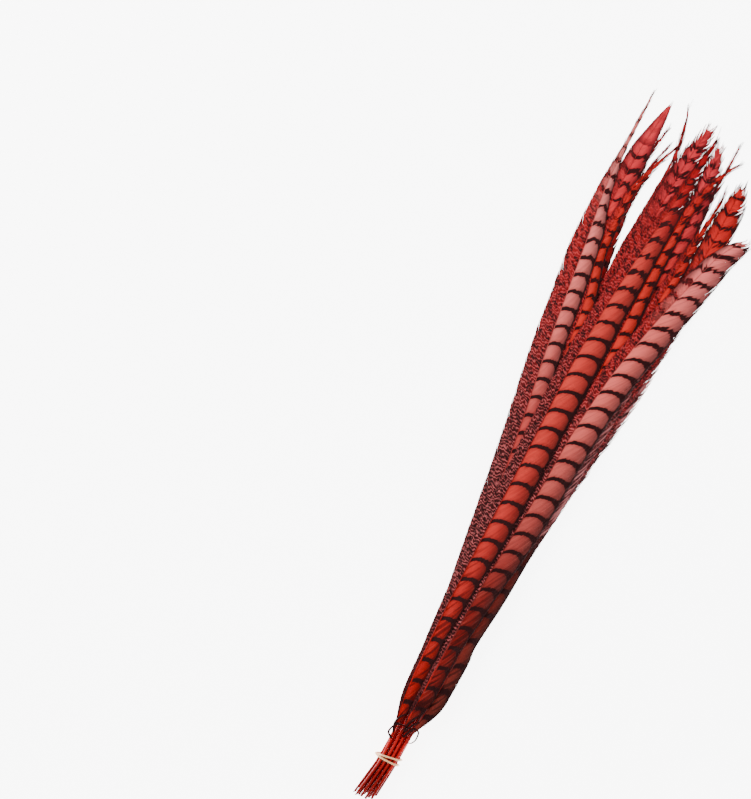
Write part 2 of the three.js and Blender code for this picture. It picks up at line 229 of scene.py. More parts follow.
class Rails:
    """The lines that a feather's solid gives: its shaft and the edges of its two vanes, in millimetres."""

    def __init__(self, node):
        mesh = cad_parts[node].data
        points = np.empty(len(mesh.vertices) * 3)
        mesh.vertices.foreach_get("co", points)
        points = points.reshape(-1, 3) / MM
        points[:, 1] -= LOWEST_Y
        rows = {}
        for x, y, z in points:
            rows.setdefault(round(y, 2), {})[(round(x, 3), round(z, 3))] = (x, y, z)
        sections = []
        for _, row in sorted(rows.items()):
            ring = np.array(sorted(row.values()))
            if len(ring) != 11:
                raise RuntimeError(f"{node} has a section of {len(ring)} points")
            flats = ring[[4, 6]] if ring[4, 2] < ring[5, 2] else ring[[4, 5]]
            sections.append((
                ring[0, 1], ring[5, 0], (flats[1, 0] - flats[0, 0]) / 0.8, flats[:, 2].mean(),
                ring[:, 2][[2, 3, 7, 8]].mean(), ring[4:7, 2].max(),
                ring[:2, 0].mean(), ring[:2, 2].mean(), ring[-2:, 0].mean(), ring[-2:, 2].mean(),
            ))
        names = ("y", "shaft", "radius", "bottom", "plane", "crown", "left", "left_z", "right", "right_z")
        self.lines = dict(zip(names, np.array(sections).T))
        self.start = float(self.lines["y"][0])
        self.tip = float(self.lines["y"][-1])
        spread = self.lines["right"] - self.lines["left"]
        bare = self.lines["y"][spread < 2.6 * self.lines["radius"]]
        bare = bare[bare < 200]
        self.first_barb = float(bare.max()) if len(bare) else self.start

    def at(self, name, y):
        return smooth_line(y, self.lines["y"], self.lines[name])


# ---------------------------------------------------------------- feather meshes


STEP_BIAS = 1.4  # above 1, a ribbon's steps lie closer together beside the shaft, where the bars turn

# In millimetres, along the feather from the lowest cut end where it says so.
LOW_BARBS = 55  # where the lowest barbs of the top feathers start
LOW_RUN = 26  # least forward run of the lowest barbs
LOW_RUN_FADES = (85, 150)  # where that least run gives way to the vane's own
LOW_WIDTH_GROWS, LOW_WIDTH_FADES = (48, 98), (130, 190)
LOW_WIDTH, LOW_WIDE_WIDTH = 3.5, 10.5  # least width of the lowest vanes, and of the wide ones below
WIDE_LOW_VANES = ("feather_18", "feather_19", "feather_20")
SHORTEST_RUN = 12
LIES_ON_QUILLS = (76, 120)  # between these the barbs come down from the quills' height to the vane's
OVER_QUILL = 0.25
FRINGE_GROWS = (150, 260)
LOWEST_HEIGHT = 0.12

# The line of a bar across the vane: it rises beside the shaft, arches, and turns back at the outer edge.
BAR_RISE, BAR_RISE_WITHIN, WIDEST_VANE = 4.9, 3.2, 21.5
BAR_TURNS_BACK = 3.6


def ribbon_sheet(ribbons, steps):
    """Two grids, one for each vane, cut into loose ribbons. x counts ribbons, y runs 0-1 outwards, z is the side."""
    bm = bmesh.new()
    for side in (-1, 1):
        bmesh.ops.create_grid(
            bm, x_segments=ribbons, y_segments=steps, size=0.5,
            matrix=Matrix.Translation((0.5, 0.5, side)),
        )
    cuts = [
        e for e in bm.edges
        if len(e.link_faces) == 2 and abs(e.verts[0].co.x - e.verts[1].co.x) < 0.2 / ribbons
    ]
    bmesh.ops.split_edges(bm, edges=cuts)
    mesh = bpy.data.meshes.new("barb_ribbons")
    bm.to_mesh(mesh)
    bm.free()
    return mesh


def corners_of(mesh):
    """The vertices' places on the sheet, the middle of each one's ribbon, and the loops' vertex numbers."""
    count = len(mesh.vertices)
    flat = np.empty(count * 3)
    mesh.vertices.foreach_get("co", flat)
    flat = flat.reshape(-1, 3)
    loops = np.empty(len(mesh.loops), int)
    mesh.loops.foreach_get("vertex_index", loops)
    middles = flat[loops.reshape(-1, 4), 0].mean(1)
    middle = np.empty(count)
    middle[loops] = np.repeat(middles, 4)
    return flat, middle, loops


def eased(value, low, high):
    """0 below low, 1 above high, smooth between."""
    s = np.clip((value - low) / (high - low), 0, 1)
    return s * s * (3 - 2 * s)


def split_shift(rng, ribbons, places, depth):
    """How far each ribbon's end is pushed along the vane where the barbs part."""
    at = np.arange(ribbons)
    shift = np.zeros(ribbons)
    for place in places:
        width = rng.uniform(4, 11)
        opening = depth * rng.uniform(0.4, 1.0)
        away = at + 0.5 - place
        shift += opening * np.sign(away) * np.exp(-np.abs(away) / width)
    return shift


def bar_count(y, factor):
    """How many bars lie below y."""
    known_y, known = np.array(BAR_SPACING, float).T
    line = np.arange(0, 660, 2.0)
    counts = np.concatenate([[0], np.cumsum(2.0 / (factor * np.interp(line[:-1] + 1, known_y, known)))])
    return np.interp(y, line, counts)


def dress_vanes(node, rails, sheet, sizes):
    """The barbs of one feather, as thin ribbons that follow the solid's vanes."""
    number = int(node[-2:])
    rng = np.random.default_rng(4100 + number)
    own = CHARACTERS[node]
    mesh = sheet.copy()
    mesh.name = node + "_barbs"
    flat, middle, loops = corners_of(mesh)
    ribbons = sizes.ribbons
    ribbon = np.clip((middle * ribbons).astype(int), 0, ribbons - 1)
    edge = np.where(flat[:, 0] > middle, 0.5, -0.5)
    out = np.clip(flat[:, 1], 0, 1)
    side = flat[:, 2]
    right = side > 0

    first = LOW_BARBS if own.low_barbs else rails.first_barb
    last = rails.tip - 4
    low_widths = {False: LOW_WIDTH, True: LOW_WIDE_WIDTH if node in WIDE_LOW_VANES else LOW_WIDTH}
    x = np.empty(len(out))
    y = np.empty(len(out))
    z = np.empty(len(out))
    count = np.empty(len(out))
    across = np.empty(len(out))
    strand = np.empty(len(out))
    chance = np.empty(len(out))
    for is_right in (False, True):
        use = right == is_right
        places = np.concatenate([rng.uniform(2, ribbons * 0.8, 9), rng.uniform(ribbons * 0.8, ribbons, 5)])
        parted = split_shift(rng, ribbons, places, 3.0 * min(1, own.fringe)) * (1 if is_right else 0.5)
        restless = rng.normal(0, 1, ribbons)
        lifted = rng.normal(0, 1, ribbons)
        stray = rng.random(ribbons)
        luck = rng.random(ribbons)
        k = ribbon[use]
        t = out[use] ** STEP_BIAS
        centre = first + (last - first) * (k + 0.5) / ribbons
        near_tip = eased(centre, rails.tip - 120, rails.tip - 25)
        loose = own.splay * near_tip
        # neighbours lap over each other like shingles, and thin out at their ends
        taper = np.maximum(0.3, 1.25 - eased(t, 0.8, 1.0) * 0.55 - 0.25 * loose * t)
        root = first + (last - first) * (k + 0.5 + edge[use] * taper) / ribbons
        name = "right" if is_right else "left"
        hand = 1 if is_right else -1
        width_here = np.abs(rails.at(name, root + 20) - rails.at("shaft", root + 20))
        run = np.clip(sizes.reach * width_here, SHORTEST_RUN, sizes.longest / MM)
        run = np.maximum(run, LOW_RUN * (1 - eased(root, *LOW_RUN_FADES))) * (1 + 0.3 * loose)
        hair = np.where(stray[k] > 0.86, 14 * loose, 0)
        room = rails.tip + 1 + 5 * loose * stray[k] + hair - root
        run = run * room / (run**4 + room**4) ** 0.25
        grown = eased(centre, *FRINGE_GROWS)
        fringe = own.fringe * (0.3 + 0.7 * grown)
        opened = (0.15 + 0.85 * grown) * t**2 * (0.6 + 0.5 * loose)
        shift = parted[k] * opened + restless[k] * t**1.5 * (0.3 + 0.8 * loose)
        yy = root + run * t * (1 + fringe / 30 * (stray[k] - 0.5)) + shift
        spread = 1 - (1 - t) ** 1.6
        shaft = rails.at("shaft", yy)
        # loose barbs of the tip keep going outwards instead of closing to a point
        back = yy - loose * (5 + 16 * luck[k]) * t
        edge_x = shaft + rails.at(name, back) - rails.at("shaft", back)
        low = eased(yy, *LOW_WIDTH_GROWS) * (1 - eased(yy, *LOW_WIDTH_FADES)) if own.low_barbs else 0
        edge_x = shaft + hand * np.maximum(np.abs(edge_x - shaft), low * low_widths[is_right])
        inner = shaft + hand * 0.2 * rails.at("radius", yy)
        wander = (stray[k] - 0.5) * fringe * t**3 * 1.2 + restless[k] * loose * t**2 * 1.3
        xx = inner + (edge_x - inner) * spread + hand * wander
        on_quills = 1 - eased(yy, *LIES_ON_QUILLS)
        plane = rails.at("plane", yy)
        plane = plane + (rails.at("crown", yy) + OVER_QUILL - plane) * on_quills
        edge_z = rails.at(name + "_z", yy)
        edge_z = edge_z + (plane - edge_z) * on_quills
        width = np.abs(edge_x - shaft)
        bulge = 0.035 * width * np.sin(math.pi * np.clip(spread, 0, 1))
        zz = plane + (edge_z - plane) * spread + bulge
        zz = zz + 0.07 * lifted[k] * t + 0.05 * edge[use] * 2
        x[use], y[use], z[use] = xx, yy, np.maximum(zz, LOWEST_HEIGHT)
        far = width * spread
        lean = (
            BAR_RISE * (width / WIDEST_VANE) ** 0.8 * (1 - np.exp(-far / BAR_RISE_WITHIN))
            + (0.08 + 0.08 * eased(yy, 250, 400)) * far
        )
        lean = lean - BAR_TURNS_BACK * np.clip((spread - 0.55) / 0.45, 0, 1) ** 1.8
        bars = bar_count(yy - lean, own.spacing) - bar_count(own.a_bar, own.spacing)
        count[use] = bars + 60 + (0.012 + 0.12 * loose) * restless[k]
        across[use] = (1 if hand == own.barred else -1) * np.clip(spread, 0.001, 0.999)
        strand[use] = k + 0.5 + edge[use]
        chance[use] = luck[k]

    mesh.vertices.foreach_set(
        "co", (np.column_stack([x, y + LOWEST_Y, z]) * MM).astype(np.float32).ravel()
    )
    along = np.clip((y - rails.start) / (rails.tip - rails.start), 0, 1)
    add_map(mesh, "bars", np.column_stack([across, count])[loops])
    add_map(mesh, "barb", np.column_stack([strand, y])[loops])
    add_map(mesh, "tone", np.column_stack([along, chance])[loops])
    # the left vane's ribbons are laid out backwards, so its faces are turned over
    bm = bmesh.new()
    bm.from_mesh(mesh)
    bm.normal_update()
    down = [f for f in bm.faces if f.normal.z < 0]
    bmesh.ops.reverse_faces(bm, faces=down)
    bm.to_mesh(mesh)
    bm.free()
    return thickened(mesh, sizes.thickness)


def add_map(mesh, name, values):
    layer = mesh.uv_layers.get(name) or mesh.uv_layers.new(name=name)
    layer.data.foreach_set("uv", values.astype(np.float32).ravel())


def thickened(mesh, thickness):
    """The same mesh with its sheets given thickness on both sides."""
    piece = bpy.data.objects.new(mesh.name, mesh)
    bpy.context.scene.collection.objects.link(piece)
    solid = piece.modifiers.new("thickness", "SOLIDIFY")
    solid.thickness = thickness
    solid.offset = 0
    deps = bpy.context.evaluated_depsgraph_get()
    done = bpy.data.meshes.new_from_object(piece.evaluated_get(deps))
    bpy.data.objects.remove(piece)
    bpy.data.meshes.remove(mesh)
    return done


def shaft_of(node, rails):
    """The shaft: an open cut quill, a round tube that thins to a hair, and a closed point."""
    rng = np.random.default_rng(5200 + int(node[-2:]))
    sides = 10
    stations = np.concatenate([
        np.linspace(rails.start, 60, 6, endpoint=False),
        np.linspace(60, rails.tip - 30, 44, endpoint=False),
        np.linspace(rails.tip - 30, rails.tip - 0.5, 8),
    ])
    angles = np.arange(sides) * 2 * math.pi / sides
    slant = rng.uniform(-0.9, 0.9)
    bm = bmesh.new()
    bars = bm.loops.layers.uv.new("bars")
    barb = bm.loops.layers.uv.new("barb")
    tone = bm.loops.layers.uv.new("tone")

    def ring_points(y, scale, push=0.0):
        centre = rails.at("shaft", y)
        slim = 0.9 - 0.45 * eased(y, 70, 190)
        wide = max(slim * rails.at("radius", y), 0.14) * scale
        bottom, crown = rails.at("bottom", y), rails.at("crown", y)
        middle, tall = (bottom + crown) / 2, max((crown - bottom) / 2, 0.14) * scale
        cut = 1 - eased(y, rails.start, rails.start + 3)
        return [
            (
                (centre + wide * math.cos(a)) * MM,
                (y + push + cut * slant * math.cos(a) + LOWEST_Y) * MM,
                (max(middle + tall * math.sin(a), 0.02)) * MM,
            )
            for a in angles
        ]

    made = bmesh.ops.create_circle(bm, cap_ends=False, segments=sides, radius=1)
    ring = sorted(made["verts"], key=lambda v: math.atan2(v.co.y, v.co.x) % (2 * math.pi))

    def place(verts, points):
        for vert, point in zip(verts, points):
            vert.co = point

    def grow(verts, points):
        edges = [e for e in bm.edges if e.verts[0] in verts and e.verts[1] in verts]
        made = bmesh.ops.extrude_edge_only(bm, edges=edges)["geom"]
        fresh = {v for v in made if isinstance(v, bmesh.types.BMVert)}
        ordered = []
        for vert in verts:
            ordered.append(next(e.other_vert(vert) for e in vert.link_edges if e.other_vert(vert) in fresh))
        place(ordered, points)
        return ordered

    # inside wall of the hollow quill first, then over the rim and up the shaft
    place(ring, ring_points(rails.start, 0.55, 5.0))
    bottom = list(ring)
    ring = grow(ring, ring_points(rails.start, 0.62))
    for y in stations:
        ring = grow(ring, ring_points(y, 1.0))
    bmesh.ops.contextual_create(bm, geom=bottom)
    end = bmesh.ops.extrude_edge_only(
        bm, edges=[e for e in bm.edges if e.verts[0] in ring and e.verts[1] in ring]
    )["geom"]
    height = float(np.mean([v.co.z for v in ring]))
    point = Vector((rails.at("shaft", rails.tip) * MM, (rails.tip + LOWEST_Y) * MM, height))
    bmesh.ops.pointmerge(bm, verts=[v for v in end if isinstance(v, bmesh.types.BMVert)], merge_co=point)
    bmesh.ops.remove_doubles(bm, verts=bm.verts, dist=1e-7)
    bmesh.ops.recalc_face_normals(bm, faces=bm.faces)
    length = (rails.tip - rails.start) * MM
    for face in bm.faces:
        face.smooth = True
        for loop in face.loops:
            y = loop.vert.co.y
            along = (y - (rails.start + LOWEST_Y) * MM) / length
            loop[bars].uv = (0.5, y / MM - LOWEST_Y)
            loop[barb].uv = (0.0, y / MM - LOWEST_Y)
            loop[tone].uv = (along, 0.5)
    mesh = bpy.data.meshes.new(node + "_shaft")
    bm.to_mesh(mesh)
    bm.free()
    return mesh


def curls_of(node, rails):
    """Loose dark barbs that curl off the quill, as thin tubes that end in a point."""
    bm = bmesh.new()
    layers = [bm.loops.layers.uv.new(name) for name in ("bars", "barb", "tone")]
    sides, steps = 6, 22
    for number, route in enumerate(CURLS.get(node, ())):
        knots = np.array(route, float)
        at = np.linspace(0, len(knots) - 1, steps)
        line = np.column_stack([smooth_line(at, np.arange(len(knots)), knots[:, c]) for c in (0, 1)])
        line[:, 0] += rails.at("shaft", 36)
        height = rails.at("crown", 60) - 0.04 * (line[:, 0] - line[0, 0]) ** 2 + 1.2 * np.sin(at)
        made = bmesh.ops.create_circle(bm, cap_ends=True, segments=sides, radius=1)["verts"]
        ring = sorted(made, key=lambda v: math.atan2(v.co.y, v.co.x) % (2 * math.pi))
        heading = np.gradient(line, axis=0)
        for k in range(steps):
            if k:
                edges = [e for e in bm.edges if e.verts[0] in ring and e.verts[1] in ring]
                grown = bmesh.ops.extrude_edge_only(bm, edges=edges)["geom"]
                fresh = {v for v in grown if isinstance(v, bmesh.types.BMVert)}
                ring = [next(e.other_vert(v) for e in v.link_edges if e.other_vert(v) in fresh) for v in ring]
            across = np.array([heading[k, 1], -heading[k, 0]]) / np.hypot(*heading[k])
            thick = CURL_RADIUS * (1.02 - k / (steps - 1)) ** 0.5
            for j, vert in enumerate(ring):
                turn = 2 * math.pi * j / sides
                x, y = line[k] + across * thick * math.cos(turn)
                vert.co = (x * MM, (y + LOWEST_Y) * MM, (height[k] + thick * math.sin(turn)) * MM)
        bmesh.ops.contextual_create(bm, geom=ring)
        for face in bm.faces:
            for loop in face.loops:
                y = loop.vert.co.y / MM - LOWEST_Y
                for layer, uv in zip(layers, ((0.5, 60), (number, y), (0.1, 0.5))):
                    loop[layer].uv = uv
    bmesh.ops.recalc_face_normals(bm, faces=bm.faces)
    mesh = bpy.data.meshes.new(node + "_curls")
    bm.to_mesh(mesh)
    bm.free()
    return mesh


def joined(name, parts):
    """One mesh of several, given with their material numbers."""
    bm = bmesh.new()
    for part, number in parts:
        before = len(bm.faces)
        bm.from_mesh(part)
        bm.faces.ensure_lookup_table()
        for face in bm.faces[before:]:
            face.material_index = number
            face.smooth = True
        bpy.data.meshes.remove(part)
    mesh = bpy.data.meshes.new(name)
    bm.to_mesh(mesh)
    bm.free()
    return mesh


# ---------------------------------------------------------------- materials


class Recipe:
    """A material's nodes, added and linked one after another."""

    def __init__(self, name):
        self.material = bpy.data.materials.new(name)
        self.material.use_nodes = True
        self.tree = self.material.node_tree
        self.skin = self.tree.nodes["Principled BSDF"]

    def node(self, kind, **settings):
        node = self.tree.nodes.new(kind)
        for key, value in settings.items():
            setattr(node, key, value)
        return node

    def feed(self, socket, value):
        if isinstance(value, bpy.types.NodeSocket):
            self.tree.links.new(value, socket)
        elif isinstance(value, tuple) and len(value) == 3 and socket.type == "RGBA":
            socket.default_value = (*value, 1)
        else:
            socket.default_value = value

    def calc(self, operation, *values, clamp=False):
        node = self.node("ShaderNodeMath", operation=operation, use_clamp=clamp)
        for socket, value in zip(node.inputs, values):
            self.feed(socket, value)
        return node.outputs[0]

    def step(self, value, low, high, to_low=0.0, to_high=1.0):
        node = self.node("ShaderNodeMapRange", interpolation_type="SMOOTHSTEP")
        for socket, given in zip(node.inputs, (value, low, high, to_low, to_high)):
            self.feed(socket, given)
        return node.outputs[0]

    def blend(self, share, first, second, how="MIX"):
        node = self.node("ShaderNodeMix", data_type="RGBA", blend_type=how)
        self.feed(node.inputs[0], share)
        self.feed(node.inputs[6], first)
        self.feed(node.inputs[7], second)
        return node.outputs[2]

    def map_of(self, name):
        split = self.node("ShaderNodeSeparateXYZ")
        self.tree.links.new(self.node("ShaderNodeUVMap", uv_map=name).outputs[0], split.inputs[0])
        return split.outputs[0], split.outputs[1]

    def noise(self, x, y, z=0.0, detail=2.0, rough=0.5):
        spot = self.node("ShaderNodeCombineXYZ")
        for socket, value in zip(spot.inputs, (x, y, z)):
            self.feed(socket, value)
        node = self.node("ShaderNodeTexNoise")
        self.tree.links.new(spot.outputs[0], node.inputs["Vector"])
        node.inputs["Scale"].default_value = 1.0
        node.inputs["Detail"].default_value = detail
        node.inputs["Roughness"].default_value = rough
        return node.outputs["Fac"]

    def bump(self, height, strength, distance):
        node = self.node("ShaderNodeBump")
        node.inputs["Strength"].default_value = strength
        node.inputs["Distance"].default_value = distance
        self.tree.links.new(height, node.inputs["Height"])
        self.tree.links.new(node.outputs[0], self.skin.inputs["Normal"])


def vane_finish(node, colours, sizes):
    """Silky barbs: rounded colour blocks between dark bars, and a mottled narrow vane."""
    own = CHARACTERS[node]
    dye = DYES[own.dye]
    number = int(node[-2:])
    made = Recipe("vane_" + node)
    across, bars = made.map_of("bars")
    strand, run = made.map_of("barb")
    along, _ = made.map_of("tone")
    out = made.calc("ABSOLUTE", across)

    def barb_noise(over_ribbons, along_run, seed, detail=2.0, rough=0.5):
        """Noise that changes fast from ribbon to ribbon and slowly along each one."""
        return made.noise(
            made.calc("MULTIPLY", strand, over_ribbons), made.calc("MULTIPLY", run, along_run),
            number * seed, detail, rough,
        )

    # ragged bar edges: the line wavers, more so near the tip, where the bars also run wider
    ageing = made.step(along, 0.65, 0.95, 0.0, min(1, 0.25 + 1.2 * own.splay + (0.5 if own.plain else 0)))
    waver = barb_noise(0.35, 0.12, 3.7)
    ragged = made.calc("MULTIPLY", made.calc("SUBTRACT", waver, 0.5), made.calc("MULTIPLY_ADD", ageing, 1.5, 0.09))
    cycle = made.calc("SUBTRACT", made.calc("FRACT", made.calc("ADD", ragged, bars)), 0.5)
    half_block = made.calc("MULTIPLY_ADD", ageing, -0.06, 0.5 * (1 - sizes.bar_share))
    height = made.calc("DIVIDE", made.calc("ABSOLUTE", cycle), half_block)
    reach = made.calc("DIVIDE", made.calc("MAXIMUM", made.calc("SUBTRACT", out, 0.3), 0.0), 0.7 - own.rim)
    oval = made.calc("ADD", made.calc("POWER", height, 5.0), made.calc("POWER", reach, 4.0))
    dark = made.step(oval, 0.75, 1.2)
    if own.plain:
        end = 1 - own.plain / FEATHER_LENGTH
        dark = made.calc("MULTIPLY", dark, made.step(along, end + 0.008, end - 0.008))

    # colour inside a block: painted shade, darker from the shaft outwards and towards the bars; pale streaks along
    # the barbs, partly paler barbs and partly painted highlight; painted shade in gaps between barbs
    streak = barb_noise(1.3, 0.035, 1.3, 3.0, 0.6)
    drift = made.noise(made.calc("MULTIPLY", strand, 0.02), out, number * 5.1)
    climb = made.calc("MULTIPLY_ADD", drift, 0.12, along)
    dyed = made.blend(made.step(climb, dye.starts, dye.ends), dye.low, dye.high)
    dyed = made.blend(made.step(climb, 0.84, 1.0), dyed, dye.tip)
    # painted shade: the block is multiplied darker towards its outer edge, where the vane curves away from the light
    outward_shade = made.step(made.calc("MULTIPLY_ADD", drift, 0.3, out), 0.3, 1.15)
    dyed = made.blend(outward_shade, dyed, (0.22, 0.30, 0.32), "MULTIPLY")
    # painted shade: darker towards the bars, so each block looks rounded
    dyed = made.blend(made.step(height, 0.5, 1.0, 0.0, 0.5), dyed, (0.5, 0.45, 0.45), "MULTIPLY")
    # pale streaks along the barbs: partly paler barbs, partly painted highlight
    pale = tuple(min(1.0, 0.7 * c + 0.3 * w) for c, w in zip(dye.high, linear(0.95, 0.6, 0.5)))
    dyed = made.blend(made.step(streak, 0.54, 0.8, 0.0, 0.3), dyed, pale)
    # painted shade: dark gaps between the barbs, strongest low on the feather
    barb_gap_shade_noise = barb_noise(0.34, 0.03, 6.1, 1.0)
    split = made.calc("MULTIPLY", made.step(barb_gap_shade_noise, 0.49, 0.41), made.step(climb, 0.55, 0.2, 0.15, 1.0))
    dyed = made.blend(split, dyed, tuple(0.2 * c for c in dye.low))
    worn = made.calc("MULTIPLY", made.step(streak, 0.52, 0.64), made.step(along, 0.74, 0.92, 0.0, 0.25 + own.splay))
    dyed = made.blend(worn, dyed, tuple(0.3 * c for c in dye.tip))
    bar = made.blend(ageing, tuple(colours.bar), tuple(2.0 * c for c in colours.bar))
    barred = made.blend(dark, dyed, bar)

    # mottled vane: pale squiggles across dark red barbs, broken by black patches; the dark feathers' are combed
    patch = barb_noise(0.28, 0.18, 2.3, 2.0, 0.6)
    bend = barb_noise(0.28, 0.14, 7.7, 2.0, 0.55)
    ripple = made.calc("MULTIPLY_ADD", bend, 3.4, made.calc("MULTIPLY", run, 0.36))
    wave = made.calc("SINE", made.calc("MULTIPLY", ripple, 2 * math.pi))
    ground = made.blend(made.step(streak, 0.3, 0.7), tuple(colours.maroon), tuple(0.35 * c for c in colours.maroon))
    upper = DYES["dark" if own.dye == "dark" else "crimson"].high
    ground = made.blend(made.step(climb, 0.5, 0.95, 0.0, 0.55), ground, upper)
    ground = made.blend(made.step(patch, 0.46, 0.54, 0.0, 0.92), ground, tuple(colours.bar))
    pale_share = made.calc("MULTIPLY", made.step(wave, 0.1, 0.7), made.step(patch, 0.62, 0.42, 0.25, 0.85))
    if own.dye == "dark":
        comb = barb_noise(0.3, 0.05, 4.1, 1.0)
        pale_share = made.calc("MAXIMUM", made.calc("MULTIPLY", pale_share, 0.5), made.step(comb, 0.5, 0.6, 0.0, 0.9))
    pale_share = made.calc("MULTIPLY", pale_share, made.step(along, 0.12, 0.36, 0.3, 1.0))
    fleck = tuple((1.7 if own.dye == "salmon" else 1.25) * c for c in colours.squiggle)
    if own.dye == "dark":
        fleck = tuple(0.06 + 1.15 * c for c in colours.squiggle)
    redder = made.step(climb, 0.5, 0.85, 0.0, 0.75 if own.dye != "dark" else 0.0)
    mottled = made.blend(pale_share, ground, made.blend(redder, fleck, DYES["crimson"].tip))

    narrow = made.calc("MULTIPLY", made.calc("LESS_THAN", across, 0.0), made.step(along, 0.95, 0.80))
    bars_from, bars_to = own.bars_span
    mottling = made.calc(
        "MAXIMUM", made.step(run, bars_from + 12, bars_from - 12), made.step(run, bars_to - 12, bars_to + 12)
    )
    colour = made.blend(made.calc("MAXIMUM", narrow, mottling), barred, mottled)
    made.feed(made.skin.inputs["Base Color"], colour)
    made.skin.inputs["Roughness"].default_value = 0.6
    made.skin.inputs["Specular IOR Level"].default_value = 0.08
    made.skin.inputs["Sheen Weight"].default_value = 0.02
    made.skin.inputs["Sheen Roughness"].default_value = 0.4
    fine = made.calc("SINE", made.calc("MULTIPLY", strand, 2 * math.pi * 3))
    made.bump(made.calc("MULTIPLY_ADD", streak, 2.0, fine), 0.35, 0.00012)
    return made.material


def shaft_finish(node, colours):
    """Dyed quill: dull at the cut end, glossy red over the band, then a thin line in the barbs' dye."""
    dye = DYES[CHARACTERS[node].dye]
    number = int(node[-2:])
    made = Recipe("shaft_" + node)
    _, run = made.map_of("barb")
    along, _ = made.map_of("tone")
    spots = made.noise(made.calc("MULTIPLY", run, 0.35), 0.0, number * 1.9, 3.0)
    quill = tuple(colours.quill)
    dull = tuple(0.5 * c for c in quill)
    line = tuple(0.4 * low + 0.04 * high for low, high in zip(dye.low, dye.high))
    tone = made.blend(made.step(along, 0.035, 0.075), dull, quill)
    tone = made.blend(made.step(along, 0.12, 0.3), tone, line)
    tone = made.blend(made.step(along, 0.5, 0.8), tone, tuple(0.6 * c for c in dye.high))
    tone = made.blend(made.step(along, 0.85, 1.0), tone, tuple(0.4 * c for c in dye.tip))
    tone = made.blend(made.step(spots, 0.35, 0.75, 0.0, 0.5), tone, dull)
    made.feed(made.skin.inputs["Base Color"], tone)
    made.skin.inputs["Roughness"].default_value = 0.5
    made.skin.inputs["Specular IOR Level"].default_value = 0.1
    made.skin.inputs["Coat Weight"].default_value = 0.03
    made.skin.inputs["Coat Roughness"].default_value = 0.3
    made.bump(spots, 0.2, 0.0002)
    return made.material


def rubber_finish(colours):
    """Pale rubber, slightly dusty, with faint die lines along the strand."""
    made = Recipe("band_rubber")
    around, run = made.map_of("strand")
    dust = made.noise(made.calc("MULTIPLY", around, 3.0), made.calc("MULTIPLY", run, 0.6), 2.0, 4.0, 0.6)
    lines = made.calc("SINE", made.calc("MULTIPLY", around, 2 * math.pi * 8))
    pale = tuple(colours.band)
    dusty = tuple(0.72 * c for c in pale)
    made.feed(made.skin.inputs["Base Color"], made.blend(made.step(dust, 0.35, 0.75), pale, dusty))
    made.feed(made.skin.inputs["Roughness"], made.step(dust, 0.3, 0.8, 0.45, 0.7))
    made.skin.inputs["Subsurface Weight"].default_value = 0.1
    made.skin.inputs["Subsurface Scale"].default_value = 0.001
    made.bump(made.calc("ADD", dust, made.calc("MULTIPLY", lines, 0.15)), 0.25, 0.0001)
    return made.material


def floor_finish(colours):
    """A matt, nearly white floor."""
    made = Recipe("pale_floor")
    place = made.node("ShaderNodeTexCoord").outputs["Object"]
    grain = made.node("ShaderNodeTexNoise")
    made.tree.links.new(place, grain.inputs["Vector"])
    grain.inputs["Scale"].default_value = 300
    floor = tuple(colours.floor)
    speck = made.step(grain.outputs["Fac"], 0.3, 0.7, 0.0, 0.03)
    made.feed(made.skin.inputs["Base Color"], made.blend(speck, floor, tuple(0.9 * c for c in floor)))
    made.skin.inputs["Roughness"].default_value = 0.9
    made.skin.inputs["Specular IOR Level"].default_value = 0.1
    made.skin.inputs["Emission Color"].default_value = (1, 1, 1, 1)
    made.skin.inputs["Emission Strength"].default_value = 7.0
    return made.material


# ---------------------------------------------------------------- operators


class FEATHER_OT_dress(bpy.types.Operator):
    """Gives every feather its barbs, its shaft and its dyed, barred finish"""

    bl_idname = "feather.dress"
    bl_label = "Dress the feathers"

    def execute(self, context):
        sizes = context.scene.feather_barbs
        colours = context.scene.feather_colours
        sheet = ribbon_sheet(sizes.ribbons, sizes.steps)
        for node in sorted(CHARACTERS):
            rails = Rails(node)
            mesh = joined(node + "_barbs_and_shaft", [
                (dress_vanes(node, rails, sheet, sizes), 0), (curls_of(node, rails), 0), (shaft_of(node, rails), 1),
            ])
            mesh.materials.append(vane_finish(node, colours, sizes))
            mesh.materials.append(shaft_finish(node, colours))
            piece = bpy.data.objects.new(node + "_dressed", mesh)
            context.scene.collection.objects.link(piece)
            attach(piece, "root")
            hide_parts(node)
        bpy.data.meshes.remove(sheet)
        return {"FINISHED"}


